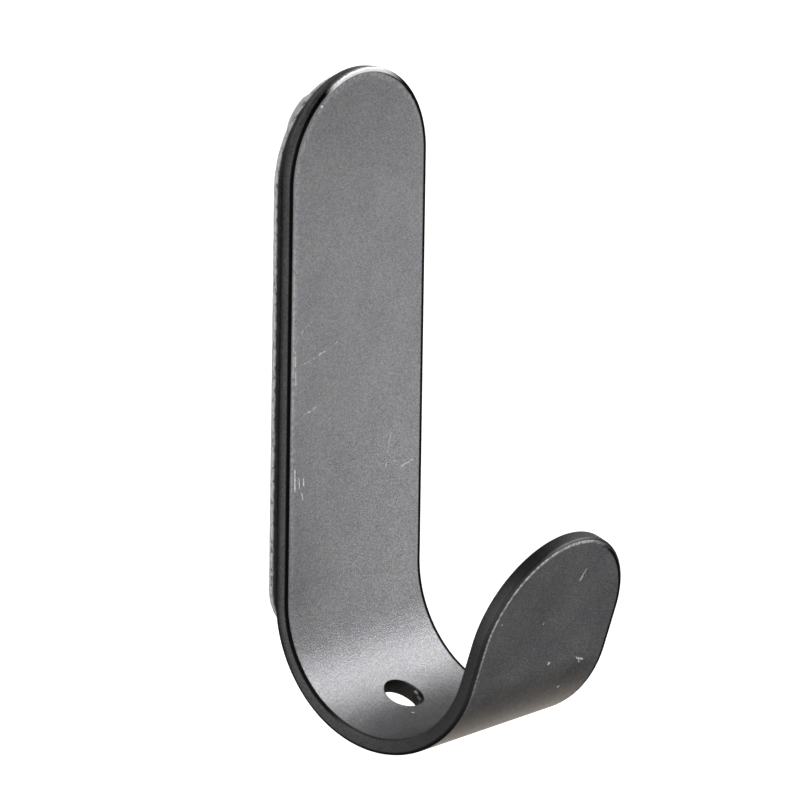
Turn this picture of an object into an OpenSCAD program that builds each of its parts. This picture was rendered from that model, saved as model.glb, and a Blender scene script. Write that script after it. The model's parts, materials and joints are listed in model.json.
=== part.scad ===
// Self-adhesive wall hook for a razor: one bent metal strip on a die-cut foam tape pad.
// +Z is up, +Y points into the wall, and the origin is the centre of the pad's wall side.

/* [Strip] */
// Width of the metal strip
strip_width = 25; // [20:0.5:30]
// Thickness of the metal strip
strip_thickness = 2; // [1.6:0.1:3]
// Radius of the softened edges all round the strip
edge_radius = 0.4; // [0.2:0.1:0.6]
// Height of the flat plate, from the start of the bend to its round top
plate_height = 64; // [50:1:90]

/* [Hook] */
// Inside radius of the bend
bend_radius = 14; // [10:0.5:18]
// How far the strip turns before it rises as the arm
bend_angle = 162; // [150:1:175]
// Length of the arm, from the end of the bend to its round tip
arm_length = 18; // [16:0.5:26]

/* [Drain hole] */
// Diameter of the drain hole
hole_diameter = 5; // [3:0.5:8]
// Place of the drain hole round the bend, from 0 at the plate to 90 at the lowest point
hole_angle = 65; // [50:1:90]

/* [Foam tape] */
// Thickness of the foam
foam_thickness = 0.9; // [0.5:0.1:2]
// Thickness of the adhesive on each side of the foam
adhesive_thickness = 0.1; // [0.05:0.01:0.2]
// Thickness of the release liner
liner_thickness = 0.1; // [0.05:0.01:0.2]
// How far the pad stays inside the strip's long edges
pad_side_inset = 0.4; // [0.4:0.1:1.5]
// How far the pad stays below the strip's round top
pad_top_inset = 1; // [0.5:0.1:4]
// How far the pad reaches below the start of the bend
pad_drop = 5; // [0:0.1:6]
// Radius of the pad's two lower corners
pad_corner = 6; // [1:0.5:8]

/* [Liner tab] */
// Radius of the tab that lifts the liner
tab_radius = 4; // [2:0.5:6]
// How far the tab reaches past the pad's edge
tab_reach = 0.7; // [0.3:0.1:1.5]
// Place of the tab round the pad's top, from 0 at the side to 90 at the top
tab_angle = 48; // [20:1:90]

/* [Hidden] */

curve_fn = 96;
edge_fn = 32;

// The arm is a hair smaller than the bend all round, and starts this far inside it, so that the two
// join into one solid
seam_step = 0.005;
seam_depth = 0.2;

strip_half = strip_width / 2;
mid_radius = bend_radius + strip_thickness / 2;

// Depths in front of the wall, one layer after another
liner_front = liner_thickness;
rear_adhesive_front = liner_front + adhesive_thickness;
foam_front = rear_adhesive_front + foam_thickness;
pad_front = foam_front + adhesive_thickness;

// The pad is centred on the origin, and the strip follows from it
pad_half = strip_half - pad_side_inset;
pad_height = plate_height - pad_top_inset + pad_drop;
pad_arc_z = pad_height / 2 - pad_half;
bend_z = pad_drop - pad_height / 2;
plate_y = -pad_front - strip_thickness / 2;
bend_y = plate_y - mid_radius;

metal_colour = [0.27, 0.27, 0.28];
foam_colour = [0.45, 0.45, 0.45];
adhesive_colour = [0.78, 0.78, 0.76];
liner_colour = [0.86, 0.84, 0.8];

// Cross-section of the strip, with rounded corners
module strip_section(inset = 0) {
    square([strip_width - 2 * edge_radius, strip_thickness - 2 * inset], center = true);
    square([strip_width - 2 * inset, strip_thickness - 2 * edge_radius], center = true);
    for (side = [-1, 1], face = [-1, 1])
        translate([side * (strip_half - edge_radius), face * (strip_thickness / 2 - edge_radius)])
            circle(r = edge_radius - inset, $fn = edge_fn);
}

// The half of the cross-section that turns into a round end
module half_section(inset) {
    intersection() {
        strip_section(inset);
        translate([0, -strip_thickness])
            square([strip_width, 2 * strip_thickness]);
    }
}

// A flat run of strip that goes from z = -root upwards, with a round end at this height
module round_ended_run(height, root = 0, inset = 0) {
    translate([0, 0, -root])
        linear_extrude(height = height + root - strip_half)
            strip_section(inset);
    translate([0, 0, height - strip_half])
        rotate([90, 0, 0])
            rotate_extrude(angle = 180, $fn = curve_fn)
                half_section(inset);
}

// Moves its children to a place on the middle of the bend: +Y faces away from the bend's centre
// there, and -Z runs on along the strip
module on_bend(angle) {
    translate([0, bend_y, bend_z])
        rotate([-angle, 0, 0])
            translate([0, mid_radius, 0])
                children();
}

module bend() {
    translate([0, bend_y, bend_z])
        rotate([-90, 0, 0])
            rotate([0, -90, 0])
                rotate_extrude(angle = bend_angle, $fn = 2 * curve_fn)
                    translate([mid_radius, 0])
                        rotate(90)
                            strip_section();
}

module hook_strip() {
    color(metal_colour)
        difference() {
            union() {
                on_bend(0)
                    round_ended_run(plate_height);
                bend();
                on_bend(bend_angle)
                    mirror([0, 0, 1])
                        round_ended_run(arm_length, seam_depth, seam_step);
            }
            on_bend(hole_angle)
                rotate([90, 0, 0])
                    cylinder(h = 3 * strip_thickness, d = hole_diameter, center = true, $fn = curve_fn);
        }
}

// Outline of the pad: a round top, straight sides and two round corners below
module pad_outline() {
    translate([0, pad_arc_z])
        circle(r = pad_half, $fn = curve_fn);
    translate([-pad_half, pad_corner - pad_height / 2])
        square([2 * pad_half, pad_arc_z + pad_height / 2 - pad_corner]);
    translate([pad_corner - pad_half, -pad_height / 2])
        square([2 * (pad_half - pad_corner), 2 * pad_corner]);
    for (side = [-1, 1])
        translate([side * (pad_half - pad_corner), pad_corner - pad_height / 2])
            circle(r = pad_corner, $fn = curve_fn);
}

module tab_outline() {
    translate([0, pad_arc_z])
        rotate(180 - tab_angle)
            translate([pad_half + tab_reach - tab_radius, 0])
                circle(r = tab_radius, $fn = curve_fn);
}

// A layer of the pad that ends at this depth in front of the wall
module layer(front, thickness) {
    translate([0, thickness - front, 0])
        rotate([90, 0, 0])
            linear_extrude(height = thickness)
                children();
}

module front_adhesive() {
    color(adhesive_colour)
        layer(pad_front, adhesive_thickness)
            pad_outline();
}

module foam_core() {
    color(foam_colour)
        layer(foam_front, foam_thickness)
            pad_outline();
}

module rear_adhesive() {
    color(adhesive_colour)
        layer(rear_adhesive_front, adhesive_thickness)
            pad_outline();
}

module release_liner() {
    color(liner_colour)
        layer(liner_front, liner_thickness) {
            pad_outline();
            tab_outline();
        }
}

hook_strip();
front_adhesive();
foam_core();
rear_adhesive();
release_liner();
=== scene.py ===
"""Self-adhesive razor hook: the looks of its bent satin strip, foam tape pad and release liner."""

import json
import math

import bmesh
import bpy
from mathutils import Matrix, Vector, noise


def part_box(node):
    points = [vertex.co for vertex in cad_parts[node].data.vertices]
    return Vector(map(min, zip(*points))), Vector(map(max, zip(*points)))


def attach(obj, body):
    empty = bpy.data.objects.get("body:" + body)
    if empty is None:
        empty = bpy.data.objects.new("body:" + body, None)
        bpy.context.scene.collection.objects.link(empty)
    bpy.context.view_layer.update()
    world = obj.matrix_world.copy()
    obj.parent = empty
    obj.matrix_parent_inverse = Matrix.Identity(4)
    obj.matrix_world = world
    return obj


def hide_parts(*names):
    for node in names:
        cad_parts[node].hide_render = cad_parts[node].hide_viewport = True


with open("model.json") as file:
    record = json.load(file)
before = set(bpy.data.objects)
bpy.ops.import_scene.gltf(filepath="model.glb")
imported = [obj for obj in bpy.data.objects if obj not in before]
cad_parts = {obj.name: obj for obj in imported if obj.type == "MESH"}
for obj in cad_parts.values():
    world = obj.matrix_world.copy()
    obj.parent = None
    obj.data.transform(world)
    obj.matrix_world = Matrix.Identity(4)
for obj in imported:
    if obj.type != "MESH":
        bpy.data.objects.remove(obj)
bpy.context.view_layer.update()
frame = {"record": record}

MM = 0.001


# ---------------------------------------------------------------- dimensions, in millimetres

def node_box(node):
    """The lowest and the highest corner of a CAD node."""
    low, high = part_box(node)
    return low / MM, high / MM


strip_low, strip_high = node_box("hook_strip")
foam_low, foam_high = node_box("foam_core")
drain = next(m for m in frame["record"]["mounts"] if m["name"] == "drain_hole")

THICKNESS = 2.0
BEND_RADIUS = 14.0
BEND_TURN = math.radians(162)
ARM_LENGTH = 18.0
EDGE_RADIUS = 0.4
# The plate's edge next to the wall is rolled further round, over this much of the thickness
WALL_EDGE = 1.2
# How far inside the outline the strip's flat faces stop
FACE_INSET = EDGE_RADIUS + 0.15

HALF_THICKNESS = THICKNESS / 2
HALF_WIDTH = (strip_high.x - strip_low.x) / 2
MID_RADIUS = BEND_RADIUS + HALF_THICKNESS
PLATE_Y = strip_high.y - HALF_THICKNESS
BEND_Y = PLATE_Y - MID_RADIUS
BEND_Z = strip_low.z + BEND_RADIUS + THICKNESS
BEND_LENGTH = MID_RADIUS * BEND_TURN
PLATE_LENGTH = strip_high.z - BEND_Z

HOLE_EDGE = 0.12
HOLE_RADIUS = drain["dims"]["r_mm"]
HOLE_Y = drain["pos_m"][1] / MM
HOLE_Z = drain["pos_m"][2] / MM
# Where the hole is: the angle round the bend, and the length along the strip's middle
HOLE_TURN = math.atan2(BEND_Z - HOLE_Z, HOLE_Y - BEND_Y)
HOLE_ALONG = MID_RADIUS * HOLE_TURN


# ---------------------------------------------------------------- camera

AZIMUTH, ELEVATION, ROLL = math.radians(-49.797), math.radians(16.45), math.radians(0.849)
CAMERA_DISTANCE = 2000.0
LENS, SENSOR = 750.7, 36.0
# The point that the camera looks towards, near the middle of the hook
AIM = Vector((0, -16.3, -4.0))
# How far that point stands to the right of and below the middle of the frame
AIM_RIGHT, AIM_BELOW = 4.784, 0.302


def place_camera():
    level_reach = math.cos(ELEVATION)
    back = Vector((math.sin(AZIMUTH) * level_reach, -math.cos(AZIMUTH) * level_reach, math.sin(ELEVATION)))
    level = Vector((math.cos(AZIMUTH), math.sin(AZIMUTH), 0))
    rise = back.cross(level)
    right = level * math.cos(ROLL) + rise * math.sin(ROLL)
    up = back.cross(right)
    place = AIM - right * AIM_RIGHT + up * AIM_BELOW + back * CAMERA_DISTANCE
    camera = bpy.data.objects.new("camera", bpy.data.cameras.new("camera"))
    camera.data.lens = LENS
    camera.data.sensor_width = SENSOR
    camera.data.clip_start = 0.1
    camera.data.clip_end = 50
    turned = Matrix((right, up, back)).transposed().to_4x4()
    camera.matrix_world = Matrix.Translation(place * MM) @ turned
    bpy.context.collection.objects.link(camera)
    bpy.context.scene.camera = camera


# ---------------------------------------------------------------- shader helpers

class Graph:
    """The nodes of a material or of the world, made by one call each. An input takes a number, a
    colour or another node's output."""

    def __init__(self, tree):
        self.tree = tree

    def make(self, kind, inputs=(), out=0, **settings):
        node = self.tree.nodes.new("ShaderNode" + kind)
        for name, value in settings.items():
            setattr(node, name, value)
        for key, value in dict(inputs).items():
            self.set(node.inputs[key], value)
        return node.outputs[out]

    def set(self, socket, value):
        if isinstance(value, bpy.types.NodeSocket):
            self.tree.links.new(value, socket)
        else:
            socket.default_value = value

    def math(self, operation, a, b):
        return self.make("Math", {0: a, 1: b}, operation=operation)

    def product(self, first, *others):
        for other in others:
            first = self.math("MULTIPLY", first, other)
        return first

    def vector(self, operation, a, b=(0, 0, 0), out=0):
        return self.make("VectorMath", {0: a, 1: b}, operation=operation, out=out)

    def scaled(self, a, factor):
        return self.make("VectorMath", {0: a, "Scale": factor}, operation="SCALE")

    def attribute(self, name, out="Vector"):
        return self.make("Attribute", attribute_name=name, out=out)

    def place(self):
        """A point of a piece, in millimetres."""
        return self.scaled(self.make("TexCoord", out="Object"), 1 / MM)

    def noise(self, vector, scale, detail=2.0, roughness=0.5, out=0, stretch=None):
        if stretch:
            vector = self.vector("MULTIPLY", vector, stretch)
        settings = {"Vector": vector, "Scale": scale, "Detail": detail, "Roughness": roughness}
        return self.make("TexNoise", settings, out=out)

    def fade(self, value, start, end, low=0.0, high=1.0):
        """Smoothly from low at start to high at end."""
        settings = {"Value": value, "From Min": start, "From Max": end, "To Min": low, "To Max": high}
        return self.make("MapRange", settings, interpolation_type="SMOOTHSTEP")

    def mix(self, factor, a, b, blend="MIX"):
        node = self.tree.nodes.new("ShaderNodeMix")
        node.data_type = "RGBA"
        node.blend_type = blend
        for index, value in ((0, factor), (6, a), (7, b)):
            self.set(node.inputs[index], value)
        return node.outputs[2]

    def bump(self, height, distance, strength):
        return self.make("Bump", {"Height": height, "Distance": distance, "Strength": strength})


def grey(value, warmth=0.0):
    return (value * (1 + warmth), value, value * (1 - warmth), 1)


def new_material(name, **constants):
    material = bpy.data.materials.new(name)
    material.use_nodes = True
    shader = material.node_tree.nodes["Principled BSDF"]
    for key, value in constants.items():
        shader.inputs[key.replace("_", " ")].default_value = value
    return material, Graph(material.node_tree), shader.inputs


# ---------------------------------------------------------------- the strip's material

class Blank:
    """A point's place on the strip's flat blank: across it, along it from the start of the bend, out
    from its middle towards the outside of the bend, and how far inside its outline."""

    def __init__(self, graph):
        self.place = graph.attribute("blank")
        self.across = graph.make("SeparateXYZ", {0: self.place}, out="X")
        self.along = graph.make("SeparateXYZ", {0: self.place}, out="Y")
        self.out = graph.make("SeparateXYZ", {0: self.place}, out="Z")
        self.rim = graph.attribute("rim", out="Fac")


def dye_and_painted_light(graph, at, cloud, grain, dots):
    """The dyed grey: cloudy, bluish in places, with a blasted grain and pale dots, under painted shade over
    the plate's top, painted light low on the plate and to the right, and painted shade outside the arm."""
    tint = graph.noise(at.place, 0.8, detail=2.0)
    colour = graph.mix(graph.fade(cloud, 0.3, 0.7), (0.237, 0.236, 0.243, 1), (0.274, 0.272, 0.276, 1))
    cast = graph.mix(graph.fade(tint, 0.35, 0.65), (0.995, 0.995, 1.03, 1), (1.005, 1.0, 0.975, 1))
    colour = graph.mix(1.0, colour, cast, "MULTIPLY")
    # Painted shade over the plate's top, painted light low on the plate and to its right, and painted shade
    # outside the arm
    top = graph.fade(at.along, -64, -42, 0.76, 1.0)
    low = graph.product(top, graph.fade(at.along, -40, -8, 1.0, 1.1))
    right = graph.fade(at.across, -12, 12, 0.97, 1.07)
    painted_arm_shade = graph.fade(graph.product(at.along, graph.fade(at.out, 0, 0.9)), 36, 44, 1.0, 0.76)
    shade = graph.product(low, right, painted_arm_shade, graph.fade(grain, 0.3, 0.7, 0.66, 1.34))
    colour = graph.mix(1.0, colour, shade, "MULTIPLY")
    return graph.mix(graph.product(graph.fade(dots, 0.66, 0.76), 0.5), colour, grey(0.7))


def paint_edge_and_hole_shade(graph, at, colour):
    """Painted shade: darkest on the corners of the strip's edges, then on its cut side, towards the wall
    and round the bend, and in the hole."""
    # Painted shade: dark lines on the corners of the strip's edges
    left, right = graph.fade(at.across, -3.5, -6.5), graph.fade(at.across, 2, 6)
    inner = graph.product(left, graph.fade(at.rim, 0.42, 0.24), graph.fade(at.out, -0.5, -0.75),
                          graph.fade(at.along, 22, 15))
    outer = graph.product(left, graph.fade(at.rim, 0.42, 0.30), graph.fade(at.out, 0.45, 0.70))
    corner = graph.math("MAXIMUM", inner, outer)
    corner = graph.math("MAXIMUM", corner, graph.product(right, graph.fade(at.rim, 0.80, 0.62)))
    # Painted shade on the cut side: towards the wall on the plate, and round the bend
    cut_side = graph.fade(at.rim, 0.42, 0.34)
    painted_wall_shade = graph.product(cut_side, graph.fade(at.along, 14, 4), graph.fade(at.out, -0.1, 0.7), 0.75)
    painted_bend_shade = graph.product(cut_side, graph.fade(at.along, 5, 40, 0, 0.75))
    # Painted shade in the hole and on its rim
    from_hole = graph.vector("SUBTRACT", at.place, (0, HOLE_ALONG, 0))
    from_hole = graph.vector("LENGTH", graph.vector("MULTIPLY", from_hole, (1, 1, 0)), out="Value")
    painted_hole_shade = graph.fade(from_hole, HOLE_RADIUS + 0.3, HOLE_RADIUS + HOLE_EDGE, 0, 0.85)
    colour = graph.mix(corner, colour, grey(0.006))
    colour = graph.mix(painted_wall_shade, colour, grey(0.04))
    colour = graph.mix(painted_bend_shade, colour, grey(0.08))
    return graph.mix(painted_hole_shade, colour, grey(0.06, 0.1))


def wear_and_painted_highlights(graph, at, colour):
    """Painted highlights: a paler border down the plate's left side and over its top and a thin line along
    its left edge; and bare metal on the edges of the two round ends, worn and partly a painted highlight."""
    patchy = graph.fade(graph.noise(at.place, 1.9, detail=3.0), 0.38, 0.6)
    inner_face = graph.fade(at.out, -0.8, -0.95)
    upper_left = graph.math("MAXIMUM", graph.fade(at.across, -2, -7), graph.fade(at.along, -52, -58))
    # Painted highlight: a paler border just inside the plate's left and top edges
    painted_sheen_border = graph.product(graph.fade(at.rim, 0.55, 0.75), graph.fade(at.rim, 1.6, 1.0), inner_face,
                           upper_left, graph.fade(at.along, 10, 0), graph.fade(patchy, 0, 1, 0.0, 0.3))
    colour = graph.mix(painted_sheen_border, colour, grey(0.5))
    # Painted highlight: a thin pale line along the plate's left edge
    line = graph.product(graph.fade(at.rim, 0.50, 0.62), graph.fade(at.rim, 0.85, 0.72), inner_face,
                         graph.fade(at.along, -50, -38), graph.fade(at.along, -6, -13),
                         graph.fade(at.across, -8, -11), graph.fade(patchy, 0, 1, 0.0, 0.5))
    colour = graph.mix(line, colour, grey(0.6))
    # Bare metal on the cap's top edge: worn, and set where its highlight falls, so partly a painted
    # highlight
    worn_top_and_highlight = graph.product(graph.fade(at.rim, 0.6, 0.45), graph.fade(at.out, -0.4, -0.6),
                             graph.fade(at.along, -57, -60), graph.fade(at.across, -6.5, -4),
                             graph.fade(at.across, 8, 4))
    colour = graph.mix(worn_top_and_highlight, colour, grey(0.8))
    # Bare metal on the tip's outer edge: worn, and set where its highlight line falls, so partly a painted
    # highlight
    worn_tip_and_highlight = graph.product(graph.fade(at.rim, 0.75, 0.55), graph.fade(at.rim, 0.22, 0.34),
                             graph.fade(at.out, 0.6, 0.8), graph.fade(at.along, 34, 56, 0.05, 1.0),
                             graph.fade(at.across, 8, 3), graph.fade(patchy, 0, 1, 0.35, 1.0))
    return graph.mix(worn_tip_and_highlight, colour, grey(0.85))


# Scratches, chips and painted glints: where each starts and ends, across and along the blank, how far out
# it is and its width. It is -1 out on the hook's inner face, 1 on its outer face, and between on the hole's
# wall.
FAINT_SCRATCHES = (
    ((-10.9, -32.8), (-9.8, -33.7), -1, 0.15),
    ((-9.8, -33.7), (-8.3, -34.3), -1, 0.13),
    ((-9.9, -29.2), (-6.4, -30.0), -1, 0.17),
    ((-6.4, -30.0), (-3.7, -30.7), -1, 0.16),
    ((-9.9, -22.8), (-7.7, -23.3), -1, 0.22),
    ((8.3, -12.5), (10.6, -12.9), -1, 0.20),
    ((6.4, -17.1), (5.5, -12.6), -1, 0.14),
    ((-11.5, -31.0), (-11.3, -27.0), -1, 0.20),
)
BRIGHT_CHIPS_AND_GLINTS = (
    ((-11.3, -16.3), (-11.2, -13.6), -1, 0.17),
    ((-10.5, -15.2), (-10.4, -13.8), -1, 0.11),
    ((-9.7, -14.9), (-9.6, -14.1), -1, 0.17),
    ((-10.0, -13.2), (-9.7, -12.3), -1, 0.15),
    ((-7.2, -60.8), (-7.1, -60.7), -1, 0.20),
    ((-2.3, 20.9), (-2.2, 21.0), -1, 0.22),
    ((3.1, 54.2), (3.3, 54.6), 1, 0.22),
    ((3.3, 54.6), (3.8, 55.6), 1, 0.12),
    ((7.1, 42.2), (8.6, 41.6), 1, 0.17),
    ((7.6, 42.0), (8.0, 41.4), 1, 0.17),
    ((1.7, 42.7), (1.8, 42.7), 1, 0.30),
    ((6.1, 38.1), (6.2, 38.1), 1, 0.24),
    ((-1.8, 49.2), (-1.7, 49.2), 1, 0.15),
    ((-10.3, 51.2), (-10.2, 51.2), 1, 0.15),
    # The last three are painted glints on the hole's wall
    ((2.30, 18.1), (2.35, 17.7), -0.3, 0.30),
    ((2.45, 17.3), (2.47, 17.0), -0.6, 0.28),
    ((2.15, 18.5), (2.10, 18.6), 0.2, 0.25),
)


def stroke(graph, place, start, end, width):
    """1 on a scratch from start to end, falling to 0 at this far from it."""
    start, end = Vector(start), Vector(end)
    length = max((end - start).length, 0.01)
    direction = (end - start) / length
    offset = graph.vector("SUBTRACT", place, start)
    along = graph.vector("DOT_PRODUCT", offset, direction, out="Value")
    along = graph.math("MINIMUM", graph.math("MAXIMUM", along, 0.0), length)
    gap = graph.vector("SUBTRACT", offset, graph.scaled(direction, along))
    return graph.fade(graph.vector("LENGTH", gap, out="Value"), width, width * 0.3)


def marks(graph, place, rows):
    total = 0.0
    for start, end, out, width in rows:
        one = stroke(graph, place, (*start, out), (*end, out), width)
        total = graph.math("MAXIMUM", one, total)
    return total


def satin_metal():
    material, graph, shader = new_material("satin_metal", Metallic=1.0, Specular_Tint=grey(0.5))
    at = Blank(graph)
    cloud = graph.noise(at.place, 0.16, detail=3.0)
    grain = graph.noise(at.place, 5.5, detail=3.0, roughness=0.7)
    dots = graph.noise(at.place, 7.0, detail=1.0)
    colour = wear_and_painted_highlights(graph, at, paint_edge_and_hole_shade(graph, at, dye_and_painted_light(graph, at, cloud, grain, dots)))

    wobble = graph.vector("SUBTRACT", graph.noise(at.place, 2.2, out="Color"), (0.5, 0.5, 0.5))
    ragged = graph.vector("ADD", at.place, graph.scaled(wobble, 0.35))
    broken = graph.fade(graph.noise(at.place, 1.6), 0.38, 0.58)
    faint = graph.fade(grain, 0.35, 0.55, 0.2, 0.6)
    scratches = graph.product(marks(graph, ragged, FAINT_SCRATCHES), broken, faint)
    chips_and_glints = marks(graph, ragged, BRIGHT_CHIPS_AND_GLINTS)
    colour = graph.mix(scratches, colour, grey(0.75))
    graph.set(shader["Base Color"], graph.mix(chips_and_glints, colour, grey(1.0)))

    rough = graph.fade(cloud, 0.25, 0.75, 0.36, 0.42)
    rough = graph.math("ADD", rough, graph.fade(grain, 0.3, 0.7, -0.03, 0.04))
    graph.set(shader["Roughness"], rough)

    height = graph.math("ADD", grain, dots)
    height = graph.math("SUBTRACT", height, graph.product(chips_and_glints, 1.2))
    height = graph.math("SUBTRACT", height, graph.product(scratches, 0.6))
    graph.set(shader["Normal"], graph.bump(height, 0.00006, 0.7))
    return material


# ---------------------------------------------------------------- the pad's materials

def foam():
    material, graph, shader = new_material("foam", Metallic=0.0)
    place = graph.place()
    cells = graph.make("TexVoronoi", {"Vector": place, "Scale": 3.2, "Randomness": 1.0}, out="Distance")
    blobs = graph.noise(place, 1.9, detail=2.0, stretch=(1, 1, 0.6))
    colour = graph.mix(graph.fade(cells, 0.1, 0.5), grey(0.60, 0.01), grey(0.92, 0.01))
    colour = graph.mix(graph.fade(blobs, 0.52, 0.66, 0.0, 0.8), colour, grey(0.16, 0.02))
    # Painted shade on the cut edge next to the metal
    depth = graph.make("SeparateXYZ", {0: place}, out="Y")
    colour = graph.mix(graph.fade(depth, -0.35, foam_low.y + 0.3), colour, grey(0.03))
    graph.set(shader["Base Color"], colour)
    graph.set(shader["Roughness"], graph.fade(blobs, 0.3, 0.7, 0.75, 0.95))
    graph.set(shader["Normal"], graph.bump(cells, 0.00012, 0.8))
    return material


def adhesive(name, dark, pale):
    material, graph, shader = new_material(name, Metallic=0.0, IOR=1.47, Transmission_Weight=0.1)
    smear = graph.noise(graph.place(), 0.9, detail=3.0)
    colour = graph.mix(graph.fade(smear, 0.35, 0.65), grey(dark, 0.01), grey(pale, 0.01))
    graph.set(shader["Base Color"], colour)
    graph.set(shader["Roughness"], graph.fade(smear, 0.3, 0.7, 0.12, 0.4))
    graph.set(shader["Normal"], graph.bump(smear, 0.00005, 0.6))
    return material


def liner():
    material, graph, shader = new_material("liner", Metallic=0.0, Coat_Weight=0.35, Coat_Roughness=0.3)
    place = graph.place()
    fibres = graph.noise(place, 2.5, detail=4.0, roughness=0.65, stretch=(0.5, 1, 1.6))
    stain = graph.noise(place, 0.12, detail=2.0)
    colour = graph.mix(graph.fade(fibres, 0.35, 0.65), grey(0.84, 0.02), grey(0.92, 0.01))
    colour = graph.mix(graph.fade(stain, 0.5, 0.75, 0.0, 0.35), colour, grey(0.66, 0.04))
    graph.set(shader["Base Color"], colour)
    graph.set(shader["Roughness"], graph.fade(fibres, 0.3, 0.7, 0.42, 0.55))
    creases = graph.noise(place, 0.25, detail=2.0, stretch=(1, 1, 0.4))
    height = graph.math("ADD", graph.product(fibres, 0.12), creases)
    graph.set(shader["Normal"], graph.bump(height, 0.0002, 0.5))
    return material


# ---------------------------------------------------------------- the bent strip

COLUMNS = 24
END_STEPS, PLATE_STEPS, ARM_STEPS = 28, 44, 6
BEND_STEP = math.radians(2.5)
# The square that is left out of each face round the hole, counted from its middle
SQUARE_ROWS, SQUARE_COLUMNS = 6, 4
# The rings between that square and the hole's rim, as shares of the way
SQUARE_RINGS = (0.3, 0.6, 0.85, 0.95)


def on_strip(across, along, out):
    """A point of the bent strip, from its place on the flat blank."""
    turn = min(max(along, 0), BEND_LENGTH) / MID_RADIUS
    reach = MID_RADIUS + out
    straight = along if along < 0 else max(along - BEND_LENGTH, 0)
    y = BEND_Y + reach * math.cos(turn) - straight * math.sin(turn)
    z = BEND_Z - reach * math.sin(turn) - straight * math.cos(turn)
    return Vector((across, y, z))


def strip_rows():
    """Each row across the blank: the place along it of the centre that its ends turn about, and the
    angle that they have turned, which is 0 along the straight edges. One row crosses the hole's middle."""
    top = HALF_WIDTH - PLATE_LENGTH
    tip = BEND_LENGTH + ARM_LENGTH - HALF_WIDTH
    rows = [(top, math.radians(-90 * (1 - i / END_STEPS))) for i in range(END_STEPS)]
    rows += [(top - top * i / PLATE_STEPS, 0) for i in range(PLATE_STEPS)]
    before_hole = round(HOLE_TURN / BEND_STEP)
    turns = [HOLE_TURN + k * BEND_STEP for k in range(-before_hole, before_hole * 2)]
    rows += [(MID_RADIUS * turn, 0) for turn in turns if turn < BEND_TURN - BEND_STEP / 2]
    rows += [(BEND_LENGTH + (tip - BEND_LENGTH) * i / ARM_STEPS, 0) for i in range(ARM_STEPS + 1)]
    rows += [(tip, math.radians(90 * (i + 1) / END_STEPS)) for i in range(END_STEPS)]
    return rows


def row_point(row, inset, share, out):
    """The point of a row at this share of its half width, with its ends this far inside the outline,
    and how far inside the outline the point is."""
    centre, angle = row
    radius = HALF_WIDTH - inset
    across = share * radius * math.cos(angle)
    along = centre + radius * math.sin(angle)
    beyond = math.hypot(across, radius * math.sin(angle)) if angle else abs(across)
    return across, along, out, HALF_WIDTH - beyond


def hole_point(radius, angle, out):
    """Across and along of a point round the hole, which is drilled straight through the bend."""
    sine = radius * math.sin(angle) / (MID_RADIUS + out)
    return radius * math.cos(angle), HOLE_ALONG + MID_RADIUS * math.asin(sine)


def edge_profile(along):
    """(inset from the outline, out) round the strip's edge, from its outer face to its inner face."""
    half = HALF_THICKNESS
    bent = min(max(along / MID_RADIUS, 0), 1)
    roll = WALL_EDGE + (EDGE_RADIUS - WALL_EDGE) * bent
    arc = [math.radians(90 * i / 8) for i in range(9)]
    outer = [(EDGE_RADIUS * (1 - math.sin(a)), half - roll * (1 - math.cos(a))) for a in arc]
    inner = [(EDGE_RADIUS * (1 - math.cos(a)), EDGE_RADIUS * (1 - math.sin(a)) - half) for a in arc]
    return [(FACE_INSET, half)] + outer + inner + [(FACE_INSET, -half)]


def hole_profile():
    """(radius, out) down the hole's wall, from the outer face to the inner face."""
    half = HALF_THICKNESS
    arc = [math.radians(90 * i / 4) for i in range(5)]
    rim = [(HOLE_RADIUS + HOLE_EDGE * (1 - math.sin(a)), half - HOLE_EDGE * (1 - math.cos(a))) for a in arc]
    wall = [(HOLE_RADIUS, half * (1 - k / 4)) for k in range(1, 8)]
    return rim + wall + [(radius, -out) for radius, out in reversed(rim)]


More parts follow.
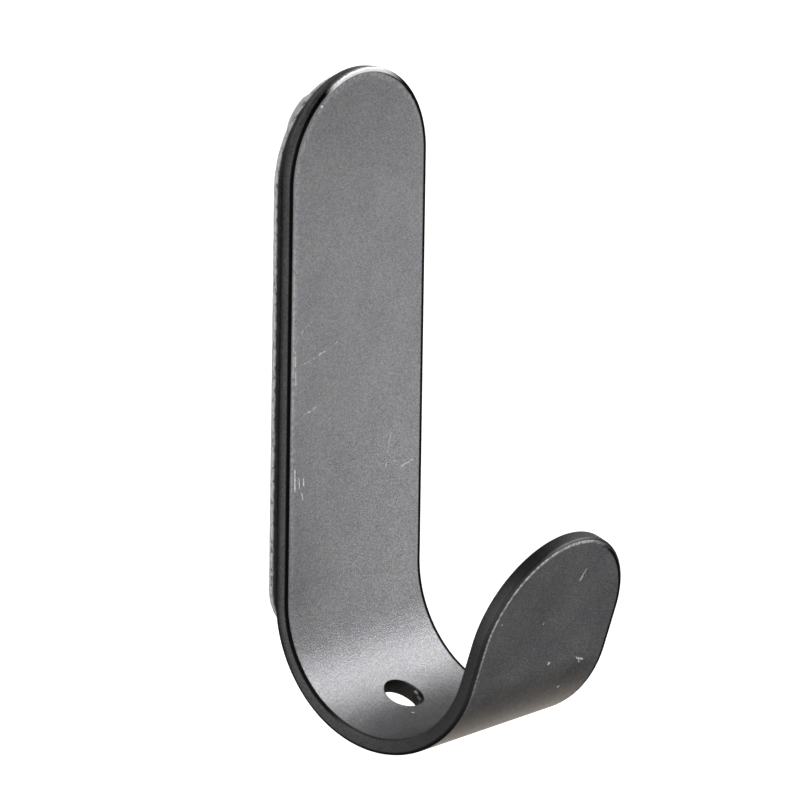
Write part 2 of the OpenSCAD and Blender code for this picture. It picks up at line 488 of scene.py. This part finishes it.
class StripMesh:
    """The strip's mesh. Each vertex keeps its place on the blank, which the material reads."""

    def __init__(self):
        self.mesh = bmesh.new()
        self.blank = self.mesh.verts.layers.float_vector.new("blank")
        self.rim = self.mesh.verts.layers.float.new("rim")
        self.rows = strip_rows()
        self.hole_row = min(range(len(self.rows)), key=self.distance_from_hole)

    def distance_from_hole(self, i):
        centre, angle = self.rows[i]
        return abs(centre - HOLE_ALONG) + abs(angle)

    def vertex(self, across, along, out, rim):
        made = self.mesh.verts.new(on_strip(across, along, out) * MM)
        made[self.blank] = Vector((across, along, out))
        made[self.rim] = rim
        return made

    def quads(self, lower, upper, flip=False):
        """A strip of faces between two lines of vertices, with triangles where they meet."""
        for a, b, c, d in zip(lower, lower[1:], upper[1:], upper):
            corners = [v for i, v in enumerate((a, b, c, d)) if v not in (a, b, c, d)[:i]]
            if len(corners) > 2:
                self.mesh.faces.new(reversed(corners) if flip else corners)

    def face_row(self, i, out):
        """A line of vertices across one face, with none inside the square round the hole."""
        row = self.rows[i]
        if abs(abs(row[1]) - math.pi / 2) < 1e-6:
            # The first and the last row are a single point each
            return [self.vertex(*row_point(row, FACE_INSET, 0, out))] * (COLUMNS + 1)
        line = []
        for j in range(COLUMNS + 1):
            in_square = abs(i - self.hole_row) < SQUARE_ROWS and abs(j - COLUMNS // 2) < SQUARE_COLUMNS
            point = row_point(row, FACE_INSET, 2 * j / COLUMNS - 1, out)
            line.append(None if in_square else self.vertex(*point))
        return line

    def add_face(self, out):
        """One face, with the square left out, and its grid of vertices as the result."""
        grid = [self.face_row(i, out) for i in range(len(self.rows))]
        for i in range(len(grid) - 1):
            for j in range(COLUMNS):
                in_rows = -SQUARE_ROWS <= i - self.hole_row < SQUARE_ROWS
                in_columns = -SQUARE_COLUMNS <= j - COLUMNS // 2 < SQUARE_COLUMNS
                if not (in_rows and in_columns):
                    self.quads(grid[i][j:j + 2], grid[i + 1][j:j + 2], flip=out < 0)
        return grid

    def edge_loop(self, places):
        """Vertices down the left side of the strip and back up its right side."""
        left = [self.vertex(*row_point(row, inset, -1, out)) for row, inset, out in places]
        right = [self.vertex(*row_point(row, inset, 1, out)) for row, inset, out in places[1:-1]]
        return left + right[::-1] + left[:1]

    def add_edge(self, outer, inner):
        """The rounded edge from one face's grid to the other's, with a loop for each step round it."""
        def face_loop(grid):
            return [row[0] for row in grid] + [row[-1] for row in grid][-2::-1]

        profiles = [edge_profile(centre) for centre, _ in self.rows]
        loops = [face_loop(outer)]
        for k in range(1, len(profiles[0]) - 1):
            loops.append(self.edge_loop([(row, *steps[k]) for row, steps in zip(self.rows, profiles)]))
        loops.append(face_loop(inner))
        for upper, lower in zip(loops, loops[1:]):
            self.quads(upper, lower)

    def square_loop(self, grid):
        """The vertices of a grid round the square that is left out of it."""
        low_i, high_i = self.hole_row - SQUARE_ROWS, self.hole_row + SQUARE_ROWS
        low_j, high_j = COLUMNS // 2 - SQUARE_COLUMNS, COLUMNS // 2 + SQUARE_COLUMNS
        loop = [grid[low_i][j] for j in range(low_j, high_j)]
        loop += [grid[i][high_j] for i in range(low_i, high_i)]
        loop += [grid[high_i][j] for j in range(high_j, low_j, -1)]
        loop += [grid[i][low_j] for i in range(high_i, low_i, -1)]
        return loop

    def ring_between(self, square, angles, out, share):
        """A ring at this share of the way from the square to the hole's rim."""
        ring = []
        for corner, angle in zip(square, angles):
            across, along, _ = corner[self.blank]
            rim_across, rim_along = hole_point(HOLE_RADIUS + HOLE_EDGE, angle, out)
            across += (rim_across - across) * share
            along += (rim_along - along) * share
            ring.append(self.vertex(across, along, out, HALF_WIDTH - abs(across)))
        return ring

    def wall_ring(self, angles, radius, out):
        points = [hole_point(radius, angle, out) for angle in angles]
        return [self.vertex(across, along, out, HALF_WIDTH - abs(across)) for across, along in points]

    def add_hole(self, outer, inner):
        """Rings from the square in one face to the hole, down its wall, and out to the other square."""
        half = HALF_THICKNESS
        outer_square, inner_square = self.square_loop(outer), self.square_loop(inner)
        angles = []
        for corner in outer_square:
            across, along, _ = corner[self.blank]
            reach = (MID_RADIUS + half) * math.sin((along - HOLE_ALONG) / MID_RADIUS)
            angles.append(math.atan2(reach, across))
        rings = [outer_square]
        rings += [self.ring_between(outer_square, angles, half, share) for share in SQUARE_RINGS]
        rings += [self.wall_ring(angles, radius, out) for radius, out in hole_profile()]
        rings += [self.ring_between(inner_square, angles, -half, share) for share in reversed(SQUARE_RINGS)]
        rings.append(inner_square)
        for upper, lower in zip(rings, rings[1:]):
            self.quads(upper + upper[:1], lower + lower[:1])


def add_piece(mesh, name, node, body, material):
    """Makes a mesh into the piece that is shown for a CAD node."""
    data = bpy.data.meshes.new(name)
    mesh.to_mesh(data)
    mesh.free()
    piece = bpy.data.objects.new(name, data)
    bpy.context.collection.objects.link(piece)
    data.materials.append(material)
    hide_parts(node)
    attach(piece, body)
    return piece


def build_strip():
    strip = StripMesh()
    outer, inner = strip.add_face(HALF_THICKNESS), strip.add_face(-HALF_THICKNESS)
    strip.add_edge(outer, inner)
    strip.add_hole(outer, inner)
    bmesh.ops.recalc_face_normals(strip.mesh, faces=strip.mesh.faces)
    for face in strip.mesh.faces:
        face.smooth = True
    add_piece(strip.mesh, "bent_strip", "hook_strip", "hook", satin_metal())


# ---------------------------------------------------------------- the foam tape pad

PAD_HALF = (foam_high.x - foam_low.x) / 2
PAD_BOTTOM = foam_low.z
PAD_ARC_Z = foam_high.z - PAD_HALF
PAD_CORNER = 6.0
# The liner's tab: its radius, how far it reaches past the pad, its place round the pad's top in
# degrees from the right, and how far it bends forward
TAB_RADIUS, TAB_REACH, TAB_ANGLE, TAB_CURL = 4.0, 0.7, 132.0, 0.25
OUTLINE_STEP = 0.3
# (inset, depth from 0 at the front to 1 at the back) round the edge of a layer of the pad, from the
# middle of its front to the middle of its back
FOAM_EDGE = (
    (3.0, 0), (1.0, 0), (0.08, 0), (0, 0.1),
    (0, 0.25), (0, 0.375), (0, 0.5), (0, 0.625), (0, 0.75),
    (0, 0.9), (0.08, 1), (1.0, 1), (3.0, 1),
)
THIN_EDGE = ((3.0, 0), (1.0, 0), (0.03, 0), (0, 0.5), (0.03, 1), (1.0, 1), (3.0, 1))


def tab_reach(angle):
    """How far the tab reaches from the centre of the pad's round top, or 0 beside the tab."""
    middle = PAD_HALF + TAB_REACH - TAB_RADIUS
    swing = math.radians(angle - TAB_ANGLE)
    inside = TAB_RADIUS ** 2 - (middle * math.sin(swing)) ** 2
    return middle * math.cos(swing) + math.sqrt(inside) if inside > 0 else 0


def pad_outline(tab=False):
    """Points round the pad, anticlockwise seen from in front: (x, z, outward x, outward z)."""
    points = []

    def arc(centre_x, centre_z, radius, start, end, with_tab=False):
        steps = max(4, round(abs(math.radians(end - start)) * radius / OUTLINE_STEP))
        for i in range(steps):
            angle = start + (end - start) * i / steps
            reach = max(radius, tab_reach(angle)) if with_tab else radius
            x, z = math.cos(math.radians(angle)), math.sin(math.radians(angle))
            points.append((centre_x + reach * x, centre_z + reach * z, x, z))

    def side(x, start, end, out):
        steps = round(abs(end - start) / OUTLINE_STEP)
        points.extend((x, start + (end - start) * i / steps, out, 0) for i in range(steps))

    corner_x, corner_z = PAD_HALF - PAD_CORNER, PAD_BOTTOM + PAD_CORNER
    arc(0, PAD_ARC_Z, PAD_HALF, 0, 180, with_tab=tab)
    side(-PAD_HALF, PAD_ARC_Z, corner_z, -1)
    arc(-corner_x, corner_z, PAD_CORNER, 180, 270)
    steps = round(2 * corner_x / OUTLINE_STEP)
    points.extend((-corner_x + 2 * corner_x * i / steps, PAD_BOTTOM, 0, -1) for i in range(steps))
    arc(corner_x, corner_z, PAD_CORNER, 270, 360)
    side(PAD_HALF, corner_z, PAD_ARC_Z, 1)
    return points


def build_layer(name, node, body, material, profile, ragged, tab=False):
    """A layer of the pad. ragged is how far its cut edge wanders."""
    low, high = node_box(node)
    mesh = bmesh.new()
    loops = []
    for inset, depth in profile:
        loop = []
        for x, z, out_x, out_z in pad_outline(tab):
            y = low.y + (high.y - low.y) * depth
            place = Vector((x * 0.9, y * 1.8, z * 0.9))
            wander = noise.noise(place) + 0.5 * noise.noise(place * 3.1)
            wander = ragged * wander * math.exp(-2 * inset)
            reach = -inset + min(wander, 0.25 * ragged)
            if tab and z > PAD_ARC_Z:
                beyond = max(0.0, math.hypot(x, z - PAD_ARC_Z) + reach - PAD_HALF)
                y -= TAB_CURL * (beyond / TAB_REACH) ** 2
            loop.append(mesh.verts.new(Vector((x + out_x * reach, y, z + out_z * reach)) * MM))
        loops.append(loop)
    for upper, lower in zip(loops, loops[1:]):
        for i, v in enumerate(upper):
            mesh.faces.new((upper[i - 1], v, lower[i], lower[i - 1]))
    mesh.faces.new(loops[0])
    mesh.faces.new(loops[-1])
    bmesh.ops.recalc_face_normals(mesh, faces=mesh.faces)
    for face in mesh.faces:
        face.smooth = len(face.verts) == 4
    return add_piece(mesh, name, node, body, material)


def build_pad():
    pad = build_layer("foam_pad", "foam_core", "hook", foam(), FOAM_EDGE, 0.14)
    # The front glue is a dark copy of the adhesive: painted shade where it lies under the strip
    shaded_glue, clean = adhesive("dirty_adhesive", 0.03, 0.08), adhesive("clean_adhesive", 0.7, 0.9)
    build_layer("front_glue", "front_adhesive", "hook", shaded_glue, THIN_EDGE, 0.10)
    build_layer("rear_glue", "rear_adhesive", "hook", clean, THIN_EDGE, 0.08)
    build_layer("peel_liner", "release_liner", "liner", liner(), THIN_EDGE, 0.05, tab=True)


# ---------------------------------------------------------------- studio

# How far the floor is below the hook, and half its size
FLOOR_DROP, FLOOR_HALF = 12.0, 3000.0
BASE_LIGHT = 0.02
# Soft panels all round: the direction of each, the cosines of the angles from its middle at which it
# starts to fade and at which it ends, its brightness and its warmth
PANELS = (
    ((0.73, -0.27, 0.62), 0.99, 0.915, 5.6, -0.01),
    ((0.73, -0.65, -0.20), 0.985, 0.89, 1.62, -0.01),
    ((0.73, -0.62, 0.25), 0.99, 0.90, 0.45, 0.0),
    ((0.73, 0.28, -0.61), 0.975, 0.93, 0.6, 0.10),
    ((0.68, 0.62, -0.38), 0.97, 0.87, 1.4, 0.12),
    ((0.72, 0.68, 0.10), 0.97, 0.88, 0.3, 0.0),
    ((0.85, 0.42, 0.22), 0.97, 0.88, 0.6, 0.02),
    ((-0.93, 0.33, -0.28), 0.97, 0.68, 0.29, 0.0),
    ((-0.92, -0.15, 0.36), 0.95, 0.75, 0.9, 0.02),
    ((0.28, -0.80, -0.50), 0.975, 0.91, 0.6, 0.0),
    ((-0.50, -0.86, 0.05), 0.90, 0.45, 0.7, 0.0),
    ((0.20, 0.96, 0.15), 0.97, 0.88, 2.5, 0.0),
)


def build_studio():
    world = bpy.data.worlds.new("studio")
    bpy.context.scene.world = world
    world.use_nodes = True
    graph = Graph(world.node_tree)
    direction = graph.make("TexCoord", out="Generated")
    total = (BASE_LIGHT, BASE_LIGHT, BASE_LIGHT)
    for towards, full, none, brightness, warmth in PANELS:
        cosine = graph.vector("DOT_PRODUCT", direction, Vector(towards).normalized(), out="Value")
        light = graph.fade(cosine, none, full, 0.0, brightness)
        total = graph.vector("ADD", graph.scaled((1 + warmth, 1, 1 - warmth), light), total)
    graph.set(world.node_tree.nodes["Background"].inputs["Color"], total)

    half = FLOOR_HALF * MM
    level = (strip_low.z - FLOOR_DROP) * MM
    corners = [(-half, -half, level), (half, -half, level), (half, half, level), (-half, half, level)]
    floor_mesh = bpy.data.meshes.new("floor")
    floor_mesh.from_pydata(corners, [], [(0, 1, 2, 3)])
    floor = bpy.data.objects.new("floor", floor_mesh)
    bpy.context.collection.objects.link(floor)
    material, _, shader = new_material("floor_white", Roughness=0.9)
    shader["Base Color"].default_value = grey(0.85)
    shader["Emission Color"].default_value = grey(1.0)
    shader["Emission Strength"].default_value = 0.8
    floor_mesh.materials.append(material)
    floor.visible_glossy = False
    floor.visible_diffuse = False


bpy.context.scene.view_settings.view_transform = "Standard"
place_camera()
build_strip()
build_pad()
build_studio()
